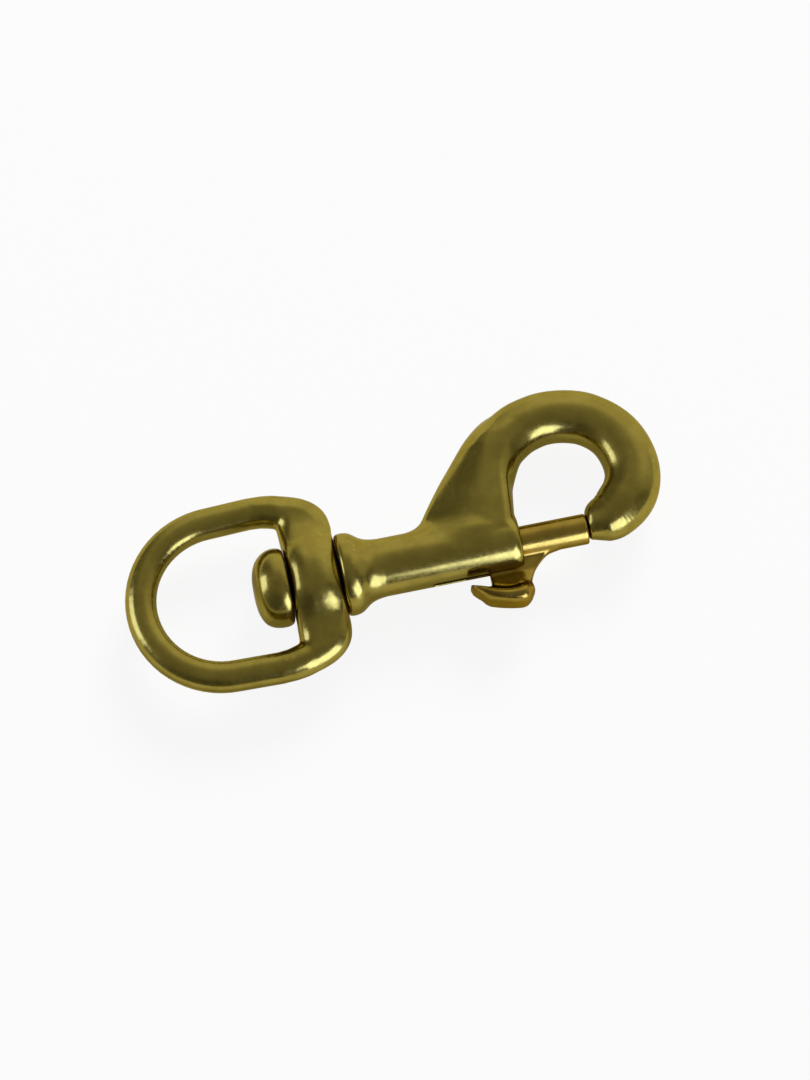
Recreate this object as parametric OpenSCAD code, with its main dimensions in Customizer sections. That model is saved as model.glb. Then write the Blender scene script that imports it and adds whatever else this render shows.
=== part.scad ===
// Swivel-eye bolt snap in solid brass.
// The barrel's axis runs along X, with the eye at -X and the hook at +X.
// The hook rises towards +Y, the thumb lever points to -Y, and the snap lies on z = 0.

/* [Body] */
// Outer diameter of the barrel
barrel_d = 9.4; // [8.5:0.1:12]
// Length from the collar's face to the barrel's mouth
barrel_len = 29.6; // [27:0.1:36]
// Outer diameter of the collar that the eye turns against
collar_d = 13.5; // [11:0.1:16.5]
// Thickness of the collar's rim along the axis
collar_t = 2.4; // [1.8:0.1:3.2]
// Length of the hollow flare between the collar and the barrel
flare_len = 4.4; // [3:0.1:6]
// Thickness of the wall that closes the bore behind the collar
end_wall = 4.6; // [3.5:0.1:6]

/* [Hook] */
// Diameter of the hook's round section
hook_d = 8.5; // [7:0.1:10.5]
// Diameter of the hook's bar where it turns in towards the nose
tip_d = 8.9; // [7:0.1:11]
// Radius of the hook's main bend, on the centre line
bend_r = 11.75; // [9.5:0.05:14]
// Height of the main bend's centre above the barrel's axis
bend_rise = 8.05; // [7:0.05:10]
// Height of the nose's centre line above the axis where the bend ends
nose_rise = 1.3; // [0.5:0.1:2]
// Length of the tapered nose
nose_len = 2.6; // [1.5:0.1:3]
// Diameter of the nose's flat end, which the bolt closes on
nose_d = 4.8; // [4:0.1:6]
// Thickness of the web between the barrel and the hook
web_t = 5.4; // [3.5:0.1:7]
// Slope of the web's back edge, in degrees
web_slope = 53; // [45:1:60]

/* [Bolt] */
// Diameter of the bolt's rod
rod_d = 5; // [4:0.1:6]
// Distance that the thumb lever pulls the bolt back
bolt_travel = 8.5; // [6:0.1:9]
// Length of the rod behind the lever, inside the bore
rod_tail = 4.2; // [3:0.1:5]
// Width of the lever's stem along the rod
stem_w = 6.3; // [4.5:0.1:7]
// Thickness of the lever's stem, which runs in the slot
stem_t = 2; // [1.6:0.1:3]
// Reach of the lever's foot below the axis
lever_reach = 10.6; // [9:0.1:13]
// Width of the lever's foot across the snap
foot_w = 6; // [5:0.1:8]
// Length of the foot that overhangs the stem
foot_reach = 3.3; // [2:0.1:4]

/* [Swivel eye] */
// Clear width inside the eye
eye_w = 22; // [18:0.1:27]
// Clear length inside the eye, from the crossbar to the round end
eye_len = 22; // [18:0.1:27]
// Diameter of the eye's round bar
eye_bar_d = 4.9; // [4:0.1:6]
// Width of the crossbar along the axis
crossbar_w = 8.1; // [6:0.1:10]
// Thickness of the crossbar's boss around the pin
boss_t = 11; // [9:0.1:13]
// Thickness of the crossbar where the side bars meet it
cross_end_t = 6.4; // [5:0.1:8]
// Radius of the eye's outer corners beside the crossbar
corner_r = 9.6; // [6:0.1:10.5]

/* [Swivel pin] */
// Diameter of the pin's head
head_d = 12.6; // [10:0.1:15.2]
// Length of the pin's head
head_len = 5.4; // [4.5:0.1:7]
// Diameter of the shank that the eye turns on
shank_d = 5; // [4:0.1:6]
// Diameter of the tail that is riveted through the end wall
tail_d = 3.8; // [3:0.1:4]
// Thickness of the riveted end inside the bore
rivet_t = 1; // [0.8:0.1:1.5]

/* [Spring] */
// Diameter of the spring's wire
wire_d = 0.5; // [0.4:0.05:0.55]
// Number of turns in the spring
turns = 7; // [5:1:7]

/* [Fits] */
// Radial clearance of the rod in the bore and of the eye on the shank
run_fit = 0.1; // [0.05:0.01:0.1]
// Radial clearance of the riveted tail in its hole
rivet_fit = 0.02; // [0.01:0.01:0.05]
// Gap along the axis at each side of the crossbar
end_float = 0.2; // [0.15:0.05:0.5]
// Gap between the closed bolt and the nose
bolt_gap = 0.2; // [0.1:0.05:0.4]
// Gap at each side of the stem in the slot
slot_gap = 0.25; // [0.2:0.05:0.5]

/* [Hidden] */
$fn = 96;
hull_fn = 32;
eps = 0.01;

brass = [0.66, 0.57, 0.26];
bolt_brass = [0.72, 0.56, 0.22];
steel = [0.62, 0.62, 0.6];

// Barrel, bore and slot, measured along X from the collar's face
bore_d = rod_d + 2 * run_fit;
slot_w = stem_t + 2 * slot_gap;

// Hook: a straight leg up from the barrel, one large bend, and a smaller one to the nose
leg_lean = 12;
bend_turn = -5;
swell_turn = -20;
swell_span = 70;
leg_x = barrel_len - hook_d / 2 / cos(leg_lean);
leg_y = barrel_d / 2;
bend_x = leg_x + bend_r * cos(leg_lean) + (bend_rise + bend_r * sin(leg_lean) - leg_y) * tan(leg_lean);
tip_r = (bend_rise + bend_r * sin(bend_turn) - nose_rise) / (1 + sin(bend_turn));
tip_x = bend_x + (bend_r - tip_r) * cos(bend_turn);
tip_y = nose_rise + tip_r;
nose_x = tip_x - nose_len;
leg_len = (bend_rise + bend_r * sin(leg_lean)) / cos(leg_lean);
bar_sides = 32;
bend_steps = 28;
tip_steps = 14;
nose_steps = 5;

// Web: its back edge stands a little outside the bend that it runs into
web_r = web_t / 2;
web_edge_r = bend_r + hook_d / 2 - web_r;
web_stand = 1.3;
web_top = on_bend(web_edge_r + web_stand, 90 + web_slope) - 2.2 * [cos(web_slope), sin(web_slope)];
web_blend = [on_bend(web_edge_r + web_stand / 2, 85 + web_slope), on_bend(web_edge_r, 72 + web_slope)];
web_foot = web_top - (web_top[1] - web_r) * [1 / tan(web_slope), 1];

// Bolt: the stem stands at the mouth when the bolt is closed
rod_tip = nose_x - bolt_gap;
stem_x1 = barrel_len + 0.3;
stem_x0 = stem_x1 - stem_w;
rod_end = stem_x0 - rod_tail;
slot_x0 = stem_x0 - bolt_travel;
tip_chamfer = 0.3;
foot_x0 = stem_x0 - foot_reach;
foot_y = barrel_d / 2 + 2.2;
foot_curve_r = 9.9;
stem_fillet_r = 6.4;

// Swivel: the head and the collar hold the crossbar between them
cross_x1 = -end_float;
cross_x0 = cross_x1 - crossbar_w;
head_x1 = cross_x0 - end_float;
head_round_r = head_d / 4;
eye_r = (eye_w + eye_bar_d) / 2;
eye_x = cross_x0 - eye_len + eye_w / 2;
eye_top = eye_w / 2 + eye_bar_d;
corner_inset = 0.3;
rivet_d = bore_d - 0.6;
rivet_end = end_wall + rivet_t;

// Spring
spring_d = bore_d - 0.6;
spring_gap = 0.1;
spring_x0 = rivet_end + spring_gap;
spring_x1 = rod_end - spring_gap;
wire_sides = 8;
rings_per_turn = 20;

// The origin is at the middle of the footprint, on the surface that the snap lies on
x_min = eye_x - eye_r - eye_bar_d / 2;
x_max = bend_x + bend_r + bar_d(0) / 2;
y_min = -eye_top;
y_max = bend_rise + bend_r + hook_d / 2;
axis_z = max(collar_d, head_d) / 2;

function on_bend(r, a) = [bend_x + r * cos(a), bend_rise + r * sin(a)];

// The bar is thickest part of the way round the turn to the nose
function bar_d(a) = hook_d + (tip_d - hook_d) * pow(cos(min(90, abs(a - swell_turn) * 90 / swell_span)), 2);

// A station of the hook's bar is its centre, the way it heads and its diameter
function station(p, heading, d) = [p[0], p[1], heading, d];
function leg_stations() = [for (t = [1, 0.5])
    station(on_bend(bend_r, 180 - leg_lean) - t * leg_len * [sin(leg_lean), cos(leg_lean)], 90 - leg_lean, hook_d)];
function bend_stations() = [for (i = [0 : bend_steps])
    let (a = 180 - leg_lean + (bend_turn + leg_lean - 180) * i / bend_steps)
    station(on_bend(bend_r, a), a - 90, bar_d(a))];
function tip_stations() = [for (i = [1 : tip_steps])
    let (a = bend_turn - (90 + bend_turn) * i / tip_steps)
    station([tip_x + tip_r * cos(a), tip_y + tip_r * sin(a)], a - 90, bar_d(a))];
function nose_stations() = [for (i = [1 : nose_steps])
    let (t = i / nose_steps)
    station([tip_x - nose_len * t, nose_rise * (1 - t)], -180, nose_d + (hook_d - nose_d) * (1 - pow(t, 1.8)))];

// One ring of corners across the bar at a station
function station_ring(s) = [for (k = [0 : bar_sides - 1])
    let (b = 360 * k / bar_sides, r = s[3] / 2)
    [s[0] - sin(s[2]) * r * cos(b), s[1] + cos(s[2]) * r * cos(b), -r * sin(b)]];

// The faces of a tube with closed ends
function tube_faces(rings, sides) = concat(
    [for (i = [0 : rings - 2], k = [0 : sides - 1])
        let (a = i * sides + k, b = i * sides + (k + 1) % sides)
        [a, b, b + sides, a + sides]],
    [[for (k = [sides - 1 : -1 : 0]) k], [for (k = [0 : sides - 1]) (rings - 1) * sides + k]]);

module place() {
    translate([-(x_min + x_max) / 2, -(y_min + y_max) / 2, axis_z]) children();
}

// A round bar along X
module bar_x(x0, x1, d) {
    translate([x0, 0, 0]) rotate([0, 90, 0]) cylinder(h = x1 - x0, d = d);
}

// A solid of revolution about X: in its outline, x is the distance from the axis and y is X
module spin_x() {
    rotate([0, 90, 0]) rotate([0, 0, 90]) rotate_extrude() children();
}

// A bent round bar in the XY plane, from angle a0 to angle a1
module bent_bar(x, y, r, d, a0, a1) {
    translate([x, y, 0]) rotate([0, 0, a0]) rotate_extrude(angle = a1 - a0) translate([r, 0]) circle(d = d);
}

// Collar with a rounded rim and a hollow flare into the barrel
module barrel_outline() {
    rim_r = collar_t / 2;
    flare_rise = 0.8 * (collar_d - barrel_d) / 2;
    flare_r = (pow(flare_rise, 2) + pow(flare_len, 2)) / (2 * flare_rise);
    square([collar_d / 2 - rim_r, collar_t]);
    translate([collar_d / 2 - rim_r, rim_r]) circle(r = rim_r);
    square([barrel_d / 2, barrel_len]);
    difference() {
        square([barrel_d / 2 + flare_rise, collar_t + flare_len]);
        translate([barrel_d / 2 + flare_r, collar_t + flare_len]) circle(r = flare_r);
        translate([collar_d / 2 - rim_r, -eps]) square([collar_d, collar_t / 2]);
    }
}

// Bolt bore, lever slot and rivet hole
module body_cuts() {
    bar_x(end_wall, barrel_len + hook_d, bore_d);
    bar_x(-1, end_wall + 1, tail_d + 2 * rivet_fit);
    translate([slot_x0, -barrel_d, -slot_w / 2]) cube([barrel_len + hook_d, barrel_d, slot_w]);
    translate([slot_x0, 0, 0]) rotate([90, 0, 0]) cylinder(h = barrel_d, d = slot_w);
}

module web() {
    hull() {
        for (p = [web_foot, web_top, web_blend[0], web_blend[1], [leg_x, web_r]])
            translate([p[0], p[1], 0]) sphere(r = web_r, $fn = hull_fn);
    }
}

// The hook is one round bar that follows its stations from the barrel to the nose's end
module hook() {
    stations = concat(leg_stations(), bend_stations(), tip_stations(), nose_stations());
    polyhedron(
        points = [for (s = stations) each station_ring(s)],
        faces = tube_faces(len(stations), bar_sides));
}

module hook_body() {
    color(brass) place() difference() {
        union() {
            spin_x() barrel_outline();
            hook();
            web();
        }
        body_cuts();
    }
}

// The head's half outline: flat towards the crossbar, with a large round at its outer edge
module head_outline() {
    square([head_d / 2 - head_round_r, head_len]);
    translate([0, head_round_r]) square([head_d / 2, head_len - head_round_r]);
    intersection() {
        translate([head_d / 2 - head_round_r, head_round_r]) circle(r = head_round_r);
        square([head_d / 2, head_len]);
    }
}

// Domed head, shank for the eye, and tail riveted over inside the bore
module swivel_pin() {
    color(brass) place() spin_x() {
        translate([0, head_x1 - head_len]) head_outline();
        translate([0, head_x1 - eps]) square([shank_d / 2, eps - head_x1]);
        square([tail_d / 2, rivet_end - eps]);
        translate([0, end_wall]) square([rivet_d / 2, rivet_t]);
    }
}

// Crossbar: flat towards the head and the collar, and swelling to a boss around the pin
module crossbar() {
    mid_x = (cross_x0 + cross_x1) / 2;
    swell = (boss_t - cross_end_t) / 2;
    swell_r = (pow(eye_r, 2) + pow(swell, 2)) / (2 * swell);
    intersection() {
        linear_extrude(height = boss_t, center = true) crossbar_plan();
        translate([mid_x, 0, 0]) rotate([90, 0, 0]) rotate_extrude() intersection() {
            translate([boss_t / 2 - swell_r, 0]) circle(r = swell_r);
            translate([0, -eye_top]) square([boss_t, 2 * eye_top]);
        }
    }
}

// The plan's rounded corners lie just inside the corner bars
module crossbar_plan() {
    plan_top = eye_top - corner_inset;
    translate([cross_x0, -plan_top + corner_r]) square([crossbar_w, 2 * (plan_top - corner_r)]);
    for (side = [-1, 1]) intersection() {
        translate([cross_x1 - corner_r, side * (plan_top - corner_r)]) circle(r = corner_r);
        translate([cross_x0, side > 0 ? 0 : -eye_top]) square([crossbar_w, eye_top]);
    }
}

// A quarter bend that carries a side bar round into the crossbar
module corner_bar(side) {
    mid_r = corner_r - eye_bar_d / 2;
    bent_bar(cross_x1 - corner_r, side * (eye_top - corner_r), mid_r, eye_bar_d, min(0, side * 90), max(0, side * 90));
}

module swivel_eye() {
    color(brass) place() difference() {
        union() {
            bent_bar(eye_x, 0, eye_r, eye_bar_d, 90, 270);
            for (side = [-1, 1]) {
                translate([0, side * eye_r, 0]) bar_x(eye_x, cross_x1 - corner_r, eye_bar_d);
                corner_bar(side);
            }
            crossbar();
        }
        bar_x(cross_x0 - 1, cross_x1 + 1, shank_d + 2 * run_fit);
    }
}

// Stem that runs in the slot, with a hollow fillet up to the rod in front
module lever_stem() {
    translate([0, 0, -stem_t / 2]) linear_extrude(height = stem_t) {
        translate([stem_x0, -lever_reach + 1]) square([stem_w, lever_reach - 1]);
        difference() {
            translate([stem_x1 - eps, -rod_d / 2 - stem_fillet_r]) square([stem_fillet_r, stem_fillet_r + 1]);
            translate([stem_x1 + stem_fillet_r, -rod_d / 2 - stem_fillet_r]) circle(r = stem_fillet_r);
        }
    }
}

// Foot for the thumb: flat towards the barrel and rounded outside
module lever_foot() {
    foot_len = stem_x1 - foot_x0;
    end_r = foot_w / 2;
    intersection() {
        translate([0, 0, -foot_w / 2]) linear_extrude(height = foot_w) intersection() {
            translate([stem_x1 - 1.8, foot_curve_r - lever_reach]) circle(r = foot_curve_r);
            translate([foot_x0, -lever_reach]) square([foot_len, lever_reach - foot_y]);
        }
        rotate([90, 0, 0]) linear_extrude(height = lever_reach + 1) {
            translate([foot_x0 + end_r, 0]) circle(r = end_r);
            translate([stem_x1 - end_r, 0]) circle(r = end_r);
            translate([foot_x0 + end_r, -end_r]) square([foot_len - 2 * end_r, foot_w]);
        }
    }
}

module slide_bolt() {
    color(bolt_brass) place() {
        bar_x(rod_end, rod_tip - tip_chamfer, rod_d);
        translate([rod_tip - tip_chamfer, 0, 0]) rotate([0, 90, 0])
            cylinder(h = tip_chamfer, d1 = rod_d, d2 = rod_d - 2 * tip_chamfer);
        lever_stem();
        lever_foot();
    }
}

// Centre line of the wire: a helix whose first and last turns lie close together
function spring_pitch(t) = t < 0.1 ? 0 : t > 0.9 ? 1 : (t - 0.1) / 0.8;
function wire_x(t) = spring_x0 + wire_d / 2 + t * wire_d * 2
    + spring_pitch(t) * (spring_x1 - spring_x0 - 3 * wire_d);

module bolt_spring() {
    rings = turns * rings_per_turn;
    coil_r = (spring_d - wire_d) / 2;
    points = [for (i = [0 : rings], k = [0 : wire_sides - 1])
        let (t = i / rings, a = 360 * turns * t, b = 360 * k / wire_sides,
            r = coil_r + wire_d / 2 * cos(b))
        [wire_x(t) + wire_d / 2 * sin(b), r * cos(a), r * sin(a)]];
    color(steel) place() polyhedron(points = points, faces = tube_faces(rings + 1, wire_sides));
}

hook_body();
swivel_pin();
swivel_eye();
slide_bolt();
bolt_spring();
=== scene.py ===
import itertools
import math

import bpy
import numpy as np
from mathutils import Matrix, Vector


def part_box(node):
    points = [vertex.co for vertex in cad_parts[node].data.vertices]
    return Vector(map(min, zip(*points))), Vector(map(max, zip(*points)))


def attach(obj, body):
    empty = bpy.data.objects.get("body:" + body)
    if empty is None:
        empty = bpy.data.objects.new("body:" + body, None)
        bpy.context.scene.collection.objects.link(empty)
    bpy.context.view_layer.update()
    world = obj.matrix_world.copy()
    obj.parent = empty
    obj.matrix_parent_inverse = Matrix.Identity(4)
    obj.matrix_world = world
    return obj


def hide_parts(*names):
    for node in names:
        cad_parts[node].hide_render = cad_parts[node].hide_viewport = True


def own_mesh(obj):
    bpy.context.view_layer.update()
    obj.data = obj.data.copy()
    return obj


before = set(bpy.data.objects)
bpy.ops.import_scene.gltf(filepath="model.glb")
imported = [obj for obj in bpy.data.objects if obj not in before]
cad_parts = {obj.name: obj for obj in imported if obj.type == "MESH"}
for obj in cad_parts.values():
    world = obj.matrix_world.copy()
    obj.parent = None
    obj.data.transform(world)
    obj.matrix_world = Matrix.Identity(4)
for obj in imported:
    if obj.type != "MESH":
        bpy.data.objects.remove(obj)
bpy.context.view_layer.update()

# ---------------------------------------------------------------- the bench: millimetres
# x = 0 is at the collar's face, and y = z = 0 is the barrel's axis
MM = 0.001
PIN_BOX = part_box("swivel_pin")
ORIGIN = Vector((
    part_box("hook_body")[0].x,
    (PIN_BOX[0].y + PIN_BOX[1].y) / 2,
    (PIN_BOX[0].z + PIN_BOX[1].z) / 2,
))
CELL = 0.24

# body
BARREL_R = 4.74
BARREL_END = 29.6
BORE_R = 2.6
BORE_START = 4.6
BORE_OPEN = 34.0
# the clearance around the rod and around the pin's tail
BORE_EASE = 0.05
TAIL_EASE = 0.03
SLOT_START = 15.1
SLOT_HALF = 0.9
SLOT_Z = -0.45
# the collar's and the flare's half outline, x and distance from the axis
COLLAR = [(0, 6.0), (0.1, 6.35), (0.4, 6.64), (0.9, 6.74), (1.5, 6.73), (2.1, 6.62), (2.6, 6.42), (3.0, 6.16),
          (3.4, 5.86), (3.8, 5.56), (4.3, 5.28), (4.9, 5.05), (5.7, 4.87), (6.8, BARREL_R)]
# the barrel's rounded rim at the mouth
MOUTH = [(28.1, BARREL_R), (28.6, 4.66), (29.05, 4.5), (29.4, 4.2), (29.57, 3.85), (BARREL_END, 3.5)]
# the hook's bar from the barrel to the nose: x, y, radius
HOOK_LINE = [
    (25.0, 2.0, 4.2), (25.5, 5.4, 4.2), (26.0, 8.4, 4.2), (26.5, 10.5, 4.25), (28.15, 14.05, 4.3),
    (29.6, 16.2, 4.35), (31.3, 17.65, 4.38), (33.5, 18.9, 4.36), (36.2, 19.66, 4.3), (38.2, 19.86, 4.29),
    (40.2, 19.72, 4.28), (42.18, 19.3, 4.3), (44.1, 18.6, 4.3), (45.89, 17.45, 4.3), (47.48, 16.0, 4.33),
    (48.76, 14.22, 4.4), (49.62, 12.13, 4.46), (50.07, 9.93, 4.5), (50.08, 7.87, 4.53), (49.6, 5.88, 4.57),
    (48.6, 4.05, 4.57), (47.12, 2.58, 4.46), (45.47, 1.42, 4.18), (44.1, 0.92, 3.92), (43.0, 0.7, 3.52),
    (42.0, 0.5, 3.05), (41.1, 0.32, 2.6)]
# how square the round bars' sections are, where 2 is round
HOOK_SQUARE, EYE_SQUARE = 2.1, 2.15
# the nose's flat end, where it is cut off, and half its height
NOSE_X = 40.74
NOSE_HALF = 3.6
# the web's plan
WEB_BACK = [
    (12.0, 2.0), (13.72, 4.85), (15.8, 8.0), (18.42, 11.55), (20.87, 14.5), (23.08, 17.12), (25.25, 19.52),
    (27.6, 21.45), (30.4, 22.45), (33.0, 22.5)]
WEB_FRONT = [
    (34.0, 19.5), (33.0, 17.2), (31.75, 15.15), (30.75, 12.95), (30.13, 10.6), (29.78, 8.0), (29.48, 5.0),
    (28.95, 0.0)]
# half the web's thickness at its back edge and at its thickest, and how fast it swells from the edge
WEB_THIN = 1.0
WEB_THICK = 4.7
WEB_SWELL = 1.8
# the swell's length at the barrel, and how much shorter it is at the hook
WEB_RAMP, WEB_RAMP_LESS = 9.8, 6.0
# eye
EYE_X = -19.37
EYE_R = 13.2
EYE_BAR_R = 2.53
# how much the eye sits askew on its pin
EYE_CANT, EYE_MIDDLE = 0.0073, -18.0
CROSS_PLAN = [
    (-0.1, 0), (-0.1, 6.4), (-0.02, 7.2), (0.06, 8.2), (0.0, 9.3), (-0.2, 10.4), (-0.62, 11.4), (-1.25, 12.3),
    (-2.1, 13.15), (-3.1, 13.85), (-4.15, 14.4), (-5.2, 14.8), (-6.1, 15.1), (-7.1, 15.36), (-8.3, 15.56),
    (-9.6, 15.65), (-11.5, 15.5), (-12.8, 15.0), (-12.8, 12.8), (-11.5, 11.7), (-10.2, 11.2), (-9.2, 10.7),
    (-8.75, 10.0), (-8.6, 9.2), (-8.55, 8.0), (-8.48, 7.0), (-8.4, 6.0), (-8.38, 4.5), (-8.38, 0)]
# the crossbar's half thickness from the middle outwards
CROSS_CREST = [
    (0, 6.52), (1, 6.48), (2, 6.36), (3, 6.12), (4, 5.7), (5, 5.07), (6, 4.31), (7, 3.64), (8, 3.19),
    (9, 2.9), (10, 2.73), (11, 2.64), (12.5, 2.6), (16, 2.4)]
# how much lower the crossbar is from its ring end to its pin end
CROSS_DROP = [
    (-12.8, 0.3), (-11, 0.3), (-8.6, 1.95), (-8.3, 1.6), (-7.9, 1.2), (-7.4, 0.79), (-6.9, 0.46),
    (-6.4, 0.24), (-5.9, 0.1), (-5.4, 0.02), (-4.7, 0), (-3.8, 0), (-3.1, 0.1), (-2.5, 0.26),
    (-1.9, 0.5), (-1.3, 0.82), (-0.7, 1.2), (-0.1, 1.62)]
# pin
# the head's half outline, from the middle of its face to its underside
HEAD = [
    (-14.28, 0), (-14.24, 1.6), (-14.06, 3.0), (-13.7, 4.15), (-13.2, 5.05), (-12.55, 5.68), (-11.8, 6.12),
    (-11.0, 6.37), (-10.3, 6.45), (-9.7, 6.42), (-9.2, 6.3), (-8.8, 6.08), (-8.58, 5.7), (-8.5, 5.0)]
# how far the head's face stands to one side
HEAD_LEAN = 0.3
SHANK_R = 2.5
TAIL_R = 1.9
RIVET_R = 2.3
# bolt
ROD_R = 2.5
ROD_SAG = 0.28
ROD_X0, ROD_X1 = 19.4, 40.63
STEM_HALF = 0.78
STEM_EDGE = 0.35
FOOT_HALF = 2.95
FOOT_ROUND = 1.8
# spring
SPRING_X0, SPRING_X1 = 5.7, 19.3
SPRING_R = 2.05
WIRE_R = 0.25
SPRING_TURNS = 7


# ---------------------------------------------------------------- distance fields in bench millimetres
def norm2(a, b):
    return np.sqrt(a * a + b * b)


def smoothstep(a, b, v):
    t = np.clip((v - a) / (b - a), 0, 1)
    return t * t * (3 - 2 * t)


def join(a, b, k):
    """Union of two fields with a fillet of about k."""
    h = np.clip(0.5 + 0.5 * (b - a) / k, 0, 1)
    return b + (a - b) * h - k * h * (1 - h)


def meet(a, b, k):
    return -join(-a, -b, k)


def cut(a, b, k):
    """Field a without field b, with the edge broken by about k."""
    return -join(-a, b, k)


def spline(points, per=6):
    """Catmull-Rom points through the given ones."""
    p = np.array(points, float)
    p = np.vstack([2 * p[0] - p[1], p, 2 * p[-1] - p[-2]])
    out = []
    for i in range(1, len(p) - 2):
        for t in np.arange(per) / per:
            a, b, c, d = p[i - 1], p[i], p[i + 1], p[i + 2]
            square = (2 * a - 5 * b + 4 * c - d) * t * t
            cube = (3 * b - a - 3 * c + d) * t ** 3
            out.append(0.5 * (2 * b + (c - a) * t + square + cube))
    out.append(p[-2])
    return np.array(out)


def line_field(x, y, points):
    """Distance in the plane to an open line, and the line's third value at the nearest point."""
    best = value = None
    for a, b in zip(points[:-1], points[1:]):
        dx, dy = b[0] - a[0], b[1] - a[1]
        if dx == dy == 0:
            continue
        t = np.clip(((x - a[0]) * dx + (y - a[1]) * dy) / (dx * dx + dy * dy), 0, 1)
        d = (x - a[0] - t * dx) ** 2 + (y - a[1] - t * dy) ** 2
        v = a[2] + t * (b[2] - a[2]) if len(a) > 2 else 0 * t
        if best is None:
            best, value = d, v
        else:
            value = np.where(d < best, v, value)
            best = np.minimum(d, best)
    return np.sqrt(best), value


def area_field(x, y, points):
    """Signed distance in the plane to a closed outline, negative inside."""
    best = None
    inside = np.zeros(np.broadcast(x, y).shape, bool)
    for a, b in zip(points, np.roll(points, -1, axis=0)):
        dx, dy = b[0] - a[0], b[1] - a[1]
        if dx == dy == 0:
            continue
        t = np.clip(((x - a[0]) * dx + (y - a[1]) * dy) / (dx * dx + dy * dy), 0, 1)
        d = (x - a[0] - t * dx) ** 2 + (y - a[1] - t * dy) ** 2
        best = d if best is None else np.minimum(best, d)
        if dy:
            inside ^= ((a[1] > y) != (b[1] > y)) & (x < dx * (y - a[1]) / dy + a[0])
    return np.where(inside, -1, 1) * np.sqrt(best)


def slab(plan, z, half, edge):
    """A plan field given thickness, with its edges rounded."""
    u, w = plan + edge, np.abs(z) - half + edge
    return np.minimum(np.maximum(u, w), 0) + norm2(np.maximum(u, 0), np.maximum(w, 0)) - edge


def squarish(d, z, power):
    """The radius of a rounded square section."""
    return (np.abs(d) ** power + np.abs(z) ** power + 1e-9) ** (1 / power)


# ---------------------------------------------------------------- a field turned into a mesh
CORNERS = np.array(list(itertools.product((0, 1), repeat=3)))
CELL_EDGES = [(i, j) for i in range(8) for j in range(i + 1, 8) if np.abs(CORNERS[i] - CORNERS[j]).sum() == 1]


def surface_net(values, lo, cell):
    """Vertices and quads of the surface where the values cross zero."""
    inside = values < 0
    n = np.array(inside.shape) - 1
    count = sum(inside[c[0]:c[0] + n[0], c[1]:c[1] + n[1], c[2]:c[2] + n[2]].astype(np.int8) for c in CORNERS)
    active = (count > 0) & (count < 8)
    index = np.full(active.shape, -1, np.int64)
    index[active] = np.arange(active.sum())
    cells = np.argwhere(active)
    at = [values[cells[:, 0] + c[0], cells[:, 1] + c[1], cells[:, 2] + c[2]] for c in CORNERS]
    total, hits = np.zeros((len(cells), 3)), np.zeros(len(cells))
    for i, j in CELL_EDGES:
        crossing = (at[i] < 0) != (at[j] < 0)
        t = np.where(crossing, at[i] / np.where(crossing, at[i] - at[j], 1), 0)[:, None]
        total += np.where(crossing[:, None], CORNERS[i] + t * (CORNERS[j] - CORNERS[i]), 0)
        hits += crossing
    verts = np.array(lo) + cell * (cells + total / hits[:, None])
    quads = []
    for axis in range(3):
        b, c = (axis + 1) % 3, (axis + 2) % 3
        near = [slice(1, -1)] * 3
        far = [slice(1, -1)] * 3
        near[axis], far[axis] = slice(0, -1), slice(1, None)
        change = inside[tuple(near)] != inside[tuple(far)]
        at = np.argwhere(change) + 1
        at[:, axis] -= 1
        ring = []
        for db, dc in ((-1, -1), (0, -1), (0, 0), (-1, 0)):
            p = at.copy()
            p[:, b] += db
            p[:, c] += dc
            ring.append(index[p[:, 0], p[:, 1], p[:, 2]])
        quad = np.stack(ring, 1)
        outward = inside[at[:, 0], at[:, 1], at[:, 2]]
        quads.append(np.where(outward[:, None], quad, quad[:, ::-1]))
    return verts, np.vstack(quads)


def relax(verts, quads, share=0.5):
    """Moves each vertex part of the way to the middle of its neighbours."""
    total, hits = np.zeros_like(verts), np.zeros(len(verts))
    for i in range(4):
        a, b = quads[:, i], quads[:, (i + 1) % 4]
        for k in range(3):
            total[:, k] += np.bincount(a, verts[b, k], len(verts)) + np.bincount(b, verts[a, k], len(verts))
        hits += np.bincount(a, minlength=len(verts)) + np.bincount(b, minlength=len(verts))
    return verts + share * (total / hits[:, None] - verts)


def settle(field, verts, rounds=2):
    """Moves the vertices on to the surface."""
    h = 0.02
    for _ in range(rounds):
        x, y, z = verts.T
        value = field(x, y, z)
        slope = np.stack([
            (field(x + h, y, z) - field(x - h, y, z)) / (2 * h),
            (field(x, y + h, z) - field(x, y - h, z)) / (2 * h),
            (field(x, y, z + h) - field(x, y, z - h)) / (2 * h)], 1)
        step = value / np.maximum((slope ** 2).sum(1), 0.2)
        verts = verts - slope * np.clip(step, -CELL, CELL)[:, None]
    return verts


def mesh_of(field, lo, hi, cell=CELL):
    axes = [np.arange(a, b + cell, cell) for a, b in zip(lo, hi)]
    values = field(axes[0][:, None, None], axes[1][None, :, None], axes[2][None, None, :])
    verts, quads = surface_net(np.broadcast_to(values, [len(a) for a in axes]), lo, cell)
    verts = settle(field, relax(relax(verts, quads), quads))
    return settle(field, relax(verts, quads, 0.3)), quads


def make_piece(name, verts, faces, body, node, material):
    mesh = bpy.data.meshes.new(name)
    mesh.from_pydata((verts * MM + np.array(ORIGIN)).tolist(), [], faces.tolist())
    mesh.polygons.foreach_set("use_smooth", [True] * len(mesh.polygons))
    mesh.materials.append(material)
    mesh.update()
    piece = bpy.data.objects.new(name, mesh)
    bpy.context.scene.collection.objects.link(piece)
    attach(piece, body)
    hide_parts(node)
    return piece


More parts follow.
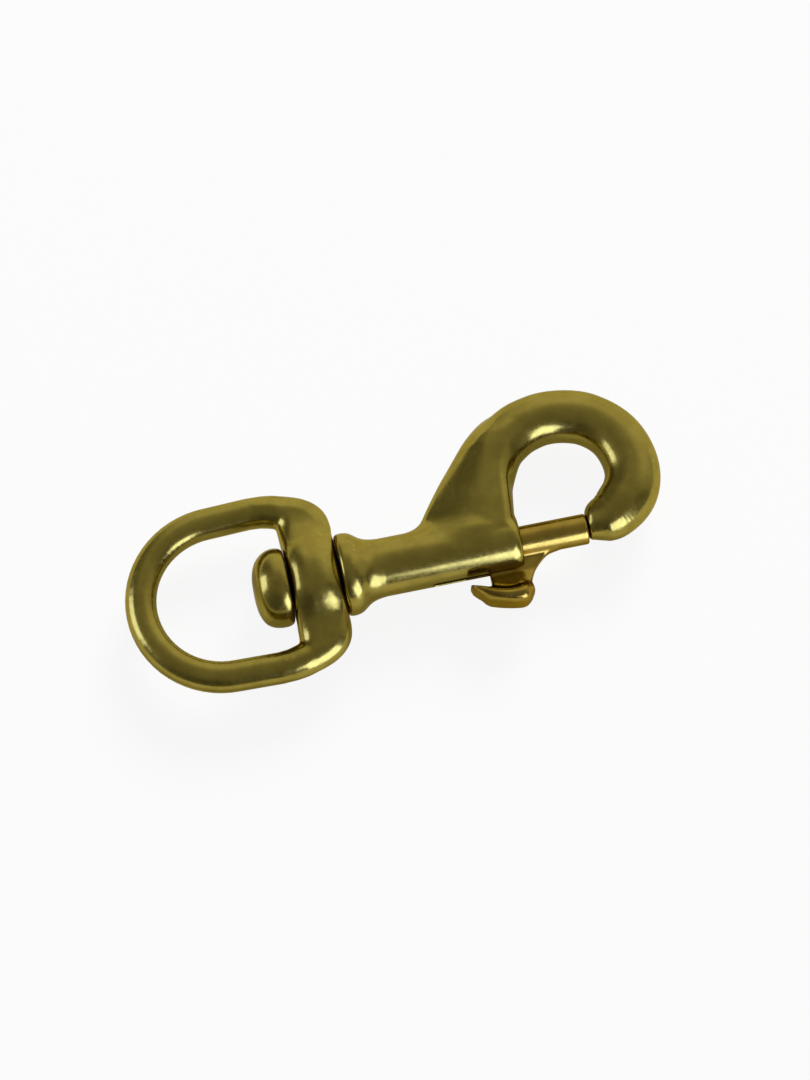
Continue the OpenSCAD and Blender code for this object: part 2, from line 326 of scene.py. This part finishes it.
# ---------------------------------------------------------------- the five pieces
HOOK_CURVE = spline(HOOK_LINE, 4)
WEB_PLAN = np.vstack([spline(WEB_BACK, 3), spline(WEB_FRONT, 3)])
BARREL_PLAN = np.vstack([[(0, -9)], spline(COLLAR, 3), MOUTH, [(BARREL_END, -9)]])
BACK_CURVE = spline(WEB_BACK, 3)


def hook_field(x, y, z):
    """Collar, barrel, web and hook, with the bore, the slot and the rivet hole taken out."""
    rho = norm2(y, z)
    barrel = area_field(x, rho, BARREL_PLAN)
    away, radius = line_field(x, y, HOOK_CURVE)
    bar = squarish(away, z, HOOK_SQUARE) - radius
    from_back, _ = line_field(x, y, BACK_CURVE)
    ramp_len = WEB_RAMP - WEB_RAMP_LESS * np.clip((y - 4.0) / 12.5, 0, 1)
    half = WEB_THICK - (WEB_THICK - WEB_THIN) * np.clip(1 - from_back / ramp_len, 0, 1) ** WEB_SWELL
    half = half - 0.45 * smoothstep(2.0, 14.0, y) - 0.9 * smoothstep(17.5, 21.5, y)
    web = slab(area_field(x, y, WEB_PLAN), z, half, 0.7 + 1.2 * smoothstep(2.0, 5.5, from_back))
    bar = cut(bar, np.maximum(np.maximum(x - NOSE_X, NOSE_X - 4 - x), np.abs(y) - NOSE_HALF), 1.1)
    solid = join(bar, web, 0.6)
    solid = join(solid, barrel, 0.4 + 1.6 * smoothstep(27.0, 22.0, x))
    bore = norm2(y + ROD_SAG / 2, z) - BORE_R - ROD_SAG / 2 - BORE_EASE
    solid = cut(solid, np.maximum(bore, np.maximum(BORE_START - x, x - BORE_OPEN)), 0.3)
    slot, _ = line_field(x, z, [(SLOT_START, SLOT_Z), (BORE_OPEN, SLOT_Z)])
    solid = cut(solid, np.maximum(slot - SLOT_HALF, y), 0.2)
    return cut(solid, np.maximum(rho - TAIL_R - TAIL_EASE, x - BORE_START - 1), 0.1)


EYE_LINE = [(-9.0, 12.9), (-10.5, 13.25), (-12.5, 13.42)] + [
    (EYE_X - EYE_R * math.sin(a), EYE_R * math.cos(a)) for a in np.linspace(0, math.pi, 33)] + [
    (-12.5, -13.42), (-10.5, -13.25), (-9.0, -12.9)]
CREST_CURVE = spline(CROSS_CREST, 4).T
DROP_CURVE = spline(CROSS_DROP, 4).T
CROSS_CURVE = np.vstack([spline(CROSS_PLAN, 3), spline([(x, -y) for x, y in CROSS_PLAN[::-1]], 3)])


def eye_field(x, y, z):
    """Round bar bent to a D, and a bored crossbar that swells around the pin."""
    across = y - EYE_CANT * (x - EYE_MIDDLE)
    away, _ = line_field(x, across, EYE_LINE)
    bar = squarish(away, z, EYE_SQUARE) - EYE_BAR_R
    crest = np.interp(np.abs(across), *CREST_CURVE)
    drop = np.interp(x, *DROP_CURVE) * smoothstep(11.5, 3.5, np.abs(across))
    edge = 0.6 + 2.2 * smoothstep(4.0, 11.0, np.abs(across))
    cross = slab(area_field(x, across, CROSS_CURVE), z, crest - drop, edge)
    solid = join(bar, cross, 0.8)
    return cut(solid, np.maximum(norm2(y, z) - SHANK_R - 0.1, -12 - x), 0.25)


HEAD_PLAN = np.vstack([spline(HEAD, 3), [(-8.5, -7), (-14.28, -7)]])


def pin_field(x, y, z):
    """Domed head, shank, tail and riveted end."""
    rho = norm2(y, z)
    tilt = HEAD_LEAN * smoothstep(-10.5, -13.9, x)
    head = area_field(x, norm2(y + tilt, z), HEAD_PLAN)
    shank = np.maximum(rho - SHANK_R, np.maximum(HEAD[-1][0] - 1 - x, x))
    tail = np.maximum(rho - TAIL_R, np.maximum(-1 - x, x - BORE_START - 1))
    rivet = meet(rho - RIVET_R, np.maximum(BORE_START - x, x - BORE_START - 1), 0.4)
    return np.minimum(np.minimum(head, shank), np.minimum(tail, rivet))


STEM_PLAN = spline([
    (23.65, 0.0), (23.65, -4.5), (23.6, -6.9), (23.0, -7.6), (23.0, -9.2), (29.4, -9.4), (29.95, -7.6),
    (30.35, -6.55), (31.0, -5.4), (31.85, -4.45), (32.8, -3.6), (33.9, -2.9), (35.4, -2.3), (36.0, -1.0),
    (33.0, -0.5)], 3)
FOOT_PLAN = spline([
    (20.0, -6.25), (20.9, -6.6), (22.2, -7.0), (24.0, -7.7), (26.5, -8.2), (28.9, -8.0), (29.62, -8.5),
    (29.64, -9.5), (29.25, -10.3), (28.35, -10.8), (27.0, -10.75), (25.0, -10.25), (23.15, -9.45),
    (21.6, -8.4), (20.35, -7.2)], 3)
FOOT_TOP = [(21.2, 0, 0), (28.2, 0, 0)]


def bolt_field(x, y, z):
    """Rod, stem in the slot, and the dished foot for the thumb."""
    rod = meet(norm2(y + ROD_SAG, z) - ROD_R, np.maximum(ROD_X0 - x, x - ROD_X1), 0.35)
    stem_plan = area_field(x, y, STEM_PLAN)
    stem = slab(stem_plan, z - SLOT_Z, STEM_HALF, STEM_EDGE)
    across, _ = line_field(x, z, FOOT_TOP)
    foot = meet(area_field(x, y, FOOT_PLAN), across - FOOT_HALF, FOOT_ROUND)
    flange = slab(stem_plan, z - SLOT_Z, STEM_HALF + 0.9 * smoothstep(-5.0, -8.0, y), STEM_EDGE)
    lever = join(np.minimum(stem, flange), foot, 1.3)
    return join(rod, lever, 0.7)


def spring_mesh(sides=12, per_turn=40):
    """Round wire in a helix whose end turns lie close, with flat cut ends."""
    rings = SPRING_TURNS * per_turn
    t = np.arange(rings + 1) / rings
    run = np.clip((t - 0.1) / 0.8, 0, 1)
    x = SPRING_X0 + WIRE_R + t * 4 * WIRE_R + run * (SPRING_X1 - SPRING_X0 - 6 * WIRE_R)
    a = 2 * math.pi * SPRING_TURNS * t
    b = 2 * math.pi * np.arange(sides) / sides
    r = SPRING_R + WIRE_R * np.cos(b)[None, :]
    along = x[:, None] + WIRE_R * np.sin(b)[None, :]
    verts = np.stack([along, r * np.cos(a)[:, None], r * np.sin(a)[:, None]], 2)
    faces = []
    for i, k in itertools.product(range(rings), range(sides)):
        here, beside = i * sides + k, i * sides + (k + 1) % sides
        faces.append((here, beside, beside + sides, here + sides))
    last = rings * sides
    for k in range(sides // 2 - 1):
        near, far = (k, k + 1), (sides - 2 - k, sides - 1 - k)
        faces.append((far[1], far[0], near[1], near[0]))
        faces.append((last + near[0], last + near[1], last + far[0], last + far[1]))
    return verts.reshape(-1, 3), np.array(faces)[:, ::-1]


# ---------------------------------------------------------------- materials
def node(tree, kind, **values):
    n = tree.nodes.new(kind)
    for key, value in values.items():
        if hasattr(n, key):
            setattr(n, key, value)
        else:
            n.inputs[key.replace("_", " ")].default_value = value
    return n


def noise(tree, coords, scale, detail=3.0, roughness=0.5):
    n = node(tree, "ShaderNodeTexNoise", Scale=scale, Detail=detail, Roughness=roughness)
    tree.links.new(coords, n.inputs["Vector"])
    return n.outputs["Fac"]


def ramp(tree, value, low, high, out_low, out_high):
    n = node(tree, "ShaderNodeMapRange", interpolation_type="SMOOTHSTEP")
    for name, v in (("From Min", low), ("From Max", high), ("To Min", out_low), ("To Max", out_high)):
        n.inputs[name].default_value = v
    tree.links.new(value, n.inputs["Value"])
    return n.outputs["Result"]


def blend_color(tree, factor, a, b):
    n = node(tree, "ShaderNodeMix", data_type="RGBA")
    for socket, value in ((n.inputs[0], factor), (n.inputs[6], a), (n.inputs[7], b)):
        if isinstance(value, bpy.types.NodeSocket):
            tree.links.new(value, socket)
        else:
            socket.default_value = value
    return n.outputs[2]


def metal(name, light, dark, hollow_shade_color, glancing, rough_low, rough_high, wave=0.05):
    """Cast and tumbled metal: low waves and pits, painted shade in the hollows and between parts, edges
    rubbed bright.
    """
    mat = bpy.data.materials.new(name)
    mat.use_nodes = True
    tree = mat.node_tree
    shader = tree.nodes["Principled BSDF"]
    coords = tree.nodes.new("ShaderNodeTexCoord").outputs["Object"]
    shader.inputs["Metallic"].default_value = 1.0
    shader.inputs["Specular Tint"].default_value = glancing
    clouds = noise(tree, coords, 260.0, 4.0, 0.6)
    specks = noise(tree, coords, 1500.0, 2.0, 0.5)
    base = blend_color(tree, ramp(tree, clouds, 0.35, 0.65, 0.0, 1.0), light, dark)
    # painted shade: within 1.6 mm of other surfaces, in hollows and the gaps between parts, the colour is
    # darkened toward the third colour given
    hollow = node(tree, "ShaderNodeAmbientOcclusion", Distance=0.0016, samples=4, inside=False)
    painted_shade = ramp(tree, hollow.outputs["AO"], 0.2, 0.85, 0.75, 0.0)
    edge = tree.nodes.new("ShaderNodeNewGeometry").outputs["Pointiness"]
    bright = [min(1, 1.15 * v) for v in light[:3]] + [1]
    rubbed = blend_color(tree, ramp(tree, edge, 0.53, 0.6, 0.0, 0.6), base, bright)
    tree.links.new(blend_color(tree, painted_shade, rubbed, hollow_shade_color), shader.inputs["Base Color"])
    tree.links.new(ramp(tree, specks, 0.3, 0.7, rough_low, rough_high), shader.inputs["Roughness"])
    waves = noise(tree, coords, 130.0, 1.5, 0.4)
    first = node(tree, "ShaderNodeBump", Strength=wave, Distance=0.001)
    tree.links.new(waves, first.inputs["Height"])
    grain = noise(tree, coords, 2600.0, 2.0, 0.6)
    second = node(tree, "ShaderNodeBump", Strength=0.035, Distance=0.0002)
    tree.links.new(grain, second.inputs["Height"])
    tree.links.new(first.outputs["Normal"], second.inputs["Normal"])
    tree.links.new(second.outputs["Normal"], shader.inputs["Normal"])
    return mat


# ---------------------------------------------------------------- stage
CAMERA_AZ, CAMERA_EL = -11.9, 70.0
# millimetres from the collar's face to the picture's middle, along the camera's own axes
MIDDLE_RIGHT, MIDDLE_UP = 10.409, 5.789
CAMERA_DISTANCE = 725.85
LENS, SENSOR = 150.0, 36.0
FLOOR_COLOR = (0.8, 0.8, 0.79, 1)
# what the camera sees beyond the floor
BACKDROP = (0.96, 0.96, 0.96, 1)
# how much of the floor is plain white to the camera, and in the metal
FLOOR_WHITE = 0.9
FLOOR_WHITE_MIRRORED = 0.25
FLOOR_HALF = 3.0


def camera_axes(az, el):
    a, e = math.radians(az), math.radians(el)
    right = Vector((math.cos(a), math.sin(a), 0))
    up = Vector((-math.sin(a) * math.sin(e), math.cos(a) * math.sin(e), math.cos(e)))
    return right, up, right.cross(up)


def make_camera():
    right, up, back = camera_axes(CAMERA_AZ, CAMERA_EL)
    target = ORIGIN + (right * MIDDLE_RIGHT + up * MIDDLE_UP) * MM
    data = bpy.data.cameras.new("camera")
    data.lens = LENS
    data.sensor_width = SENSOR
    data.clip_start, data.clip_end = 0.01, 50
    camera = bpy.data.objects.new("camera", data)
    place = Matrix.Translation(target + back * CAMERA_DISTANCE * MM)
    camera.matrix_world = place @ Matrix((right, up, back)).transposed().to_4x4()
    bpy.context.scene.collection.objects.link(camera)
    bpy.context.scene.camera = camera


def make_floor():
    mesh = bpy.data.meshes.new("floor")
    s = FLOOR_HALF
    mesh.from_pydata([(-s, -s, 0), (s, -s, 0), (s, s, 0), (-s, s, 0)], [], [(0, 1, 2, 3)])
    floor = bpy.data.objects.new("floor", mesh)
    bpy.context.scene.collection.objects.link(floor)
    mat = bpy.data.materials.new("floor")
    mat.use_nodes = True
    tree = mat.node_tree
    tree.nodes.clear()
    path = tree.nodes.new("ShaderNodeLightPath")
    paint = tree.nodes.new("ShaderNodeBsdfPrincipled")
    paint.inputs["Base Color"].default_value = FLOOR_COLOR
    paint.inputs["Roughness"].default_value = 0.6
    paint.inputs["Specular IOR Level"].default_value = 0.0
    glow = node(tree, "ShaderNodeEmission", Color=(1, 1, 1, 1), Strength=1.0)
    mirrored = node(tree, "ShaderNodeMath", operation="MAXIMUM")
    tree.links.new(path.outputs["Is Glossy Ray"], mirrored.inputs[0])
    tree.links.new(path.outputs["Is Transmission Ray"], mirrored.inputs[1])
    seen = node(tree, "ShaderNodeMix")
    seen.inputs[3].default_value = FLOOR_WHITE
    tree.links.new(path.outputs["Is Camera Ray"], seen.inputs[0])
    mirrored_white = node(tree, "ShaderNodeMath", operation="MULTIPLY")
    mirrored_white.inputs[1].default_value = FLOOR_WHITE_MIRRORED
    tree.links.new(mirrored.outputs[0], mirrored_white.inputs[0])
    tree.links.new(mirrored_white.outputs[0], seen.inputs[2])
    mix = tree.nodes.new("ShaderNodeMixShader")
    out = tree.nodes.new("ShaderNodeOutputMaterial")
    tree.links.new(seen.outputs[0], mix.inputs[0])
    tree.links.new(paint.outputs[0], mix.inputs[1])
    tree.links.new(glow.outputs[0], mix.inputs[2])
    tree.links.new(mix.outputs[0], out.inputs["Surface"])
    mesh.materials.append(mat)


# the room's brightness around the snap at low elevations, by azimuth in degrees from the right,
# chosen from brightness measured in the photograph's reflections
ROOM = [
    (-180, 0.32), (-155, 0.2), (-128, 0.12), (-104, 0.11), (-88, 0.16), (-70, 0.28), (-50, 0.3),
    (-34, 0.2), (-18, 0.2), (-8, 0.4), (16, 0.55), (30, 0.74), (80, 0.76), (94, 0.66), (112, 0.34),
    (126, 0.18), (140, 0.2), (158, 0.34), (180, 0.32)]
# the ceiling's brightness, at its dim side and at the side towards the sweep
CEILING_DIM, CEILING_BRIGHT = 0.24, 0.36
SWEEP_AZ = 60.0
# the windows' light is cooler than the room's
DAYLIGHT = (0.86, 1.03, 2.2)


def make_world():
    """A pale sweep beyond and to the right of the snap, a dim room elsewhere, white to the camera."""
    world = bpy.data.worlds.new("studio")
    bpy.context.scene.world = world
    world.use_nodes = True
    tree = world.node_tree
    tree.nodes.clear()
    direction = node(tree, "ShaderNodeSeparateXYZ")
    around = tree.nodes.new("ShaderNodeTexCoord").outputs["Generated"]
    tree.links.new(around, direction.inputs[0])
    azimuth = node(tree, "ShaderNodeMath", operation="ARCTAN2")
    tree.links.new(direction.outputs["Y"], azimuth.inputs[0])
    tree.links.new(direction.outputs["X"], azimuth.inputs[1])
    turn = node(tree, "ShaderNodeMapRange")
    turn.inputs["From Min"].default_value = -math.pi
    turn.inputs["From Max"].default_value = math.pi
    tree.links.new(azimuth.outputs[0], turn.inputs["Value"])
    room = tree.nodes.new("ShaderNodeFloatCurve")
    curve = room.mapping.curves[0]
    for _ in ROOM[2:]:
        curve.points.new(0.5, 0.5)
    for point, (degrees, level) in zip(curve.points, ROOM):
        point.location = ((degrees + 180) / 360, level)
    room.mapping.update()
    tree.links.new(turn.outputs["Result"], room.inputs["Value"])
    high = ramp(tree, direction.outputs["Z"], 0.62, 0.98, 0.0, 1.0)
    level = node(tree, "ShaderNodeMix")
    towards = node(tree, "ShaderNodeVectorMath", operation="DOT_PRODUCT")
    sweep = math.radians(SWEEP_AZ)
    towards.inputs[1].default_value = (math.cos(sweep), math.sin(sweep), 0)
    tree.links.new(around, towards.inputs[0])
    ceiling = ramp(tree, towards.outputs["Value"], -0.35, 0.8, CEILING_DIM, CEILING_BRIGHT)
    tree.links.new(ceiling, level.inputs[3])
    tree.links.new(high, level.inputs[0])
    tree.links.new(room.outputs[0], level.inputs[2])
    path = tree.nodes.new("ShaderNodeLightPath")
    color = blend_color(tree, path.outputs["Is Camera Ray"], level.outputs[0], BACKDROP)
    background = tree.nodes.new("ShaderNodeBackground")
    tree.links.new(color, background.inputs["Color"])
    out = tree.nodes.new("ShaderNodeOutputWorld")
    tree.links.new(background.outputs[0], out.inputs["Surface"])


def softbox(name, azimuth, elevation, width, height, radiance, distance=1.1, lean=0.0, color=(1, 1, 1)):
    """A lamp with a face of the given size, turned to the snap, given by its brightness as seen."""
    data = bpy.data.lights.new(name, "AREA")
    data.shape = "RECTANGLE"
    data.size, data.size_y = width, height
    data.energy = radiance * math.pi * width * height
    data.color = color
    a, e = math.radians(azimuth), math.radians(elevation)
    back = Vector((math.cos(a) * math.cos(e), math.sin(a) * math.cos(e), math.sin(e)))
    right = Vector((-math.sin(a), math.cos(a), 0))
    lamp = bpy.data.objects.new(name, data)
    lamp.visible_camera = False
    turned = Matrix((right, back.cross(right), back)).transposed().to_4x4()
    leaned = turned @ Matrix.Rotation(math.radians(lean), 4, "Z")
    lamp.matrix_world = Matrix.Translation(back * distance) @ leaned
    bpy.context.scene.collection.objects.link(lamp)
    return lamp


def build():
    # each metal's third colour is painted shade, laid into its hollows and the gaps between parts
    brass = metal("body_brass", (0.395, 0.307, 0.055, 1), (0.33, 0.255, 0.044, 1), (0.2, 0.11, 0.012, 1),
                  (0.82, 0.73, 0.48, 1), 0.18, 0.26)
    warm = metal("bolt_brass", (0.41, 0.28, 0.043, 1), (0.34, 0.22, 0.032, 1), (0.24, 0.11, 0.01, 1),
                 (0.75, 0.62, 0.38, 1), 0.18, 0.27)
    steel = metal("spring_steel", (0.45, 0.44, 0.42, 1), (0.3, 0.29, 0.27, 1), (0.08, 0.07, 0.06, 1),
                  (0.9, 0.9, 0.9, 1), 0.25, 0.4)
    verts, faces = mesh_of(hook_field, (-1, -8, -7.5), (55.5, 25.5, 7.5))
    make_piece("cast_body", verts, faces, "snap_body", "hook_body", brass)
    verts, faces = mesh_of(eye_field, (-36.5, -17, -7), (1, 17, 7))
    make_piece("cast_eye", verts, faces, "eye", "swivel_eye", brass)
    verts, faces = mesh_of(pin_field, (-15.2, -7.5, -7.5), (7, 7.5, 7.5))
    make_piece("headed_pin", verts, faces, "snap_body", "swivel_pin", brass)
    verts, faces = mesh_of(bolt_field, (18.5, -11.6, -4), (42, 3.5, 4), CELL * 0.8)
    make_piece("cast_bolt", verts, faces, "bolt", "slide_bolt", warm)
    verts, faces = spring_mesh()
    spring = make_piece("wire_spring", verts, faces, "snap_body", "bolt_spring", steel)
    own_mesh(spring)


build()
make_camera()
make_floor()
make_world()
# the windows are seen only in the metal, and the fill lamp reaches only the floor
for window in (softbox("window", -62, 18, 0.09, 0.115, 3.5, 0.15, 15, DAYLIGHT),
               softbox("side_window", 168, 19, 0.125, 0.14, 2.2, 0.24, 0, DAYLIGHT)):
    window.visible_diffuse = False
fill = softbox("fill", 60, 34, 1.2, 0.95, 18.0, 2.6)
fill.visible_glossy = False
bpy.context.scene.view_settings.view_transform = "Standard"
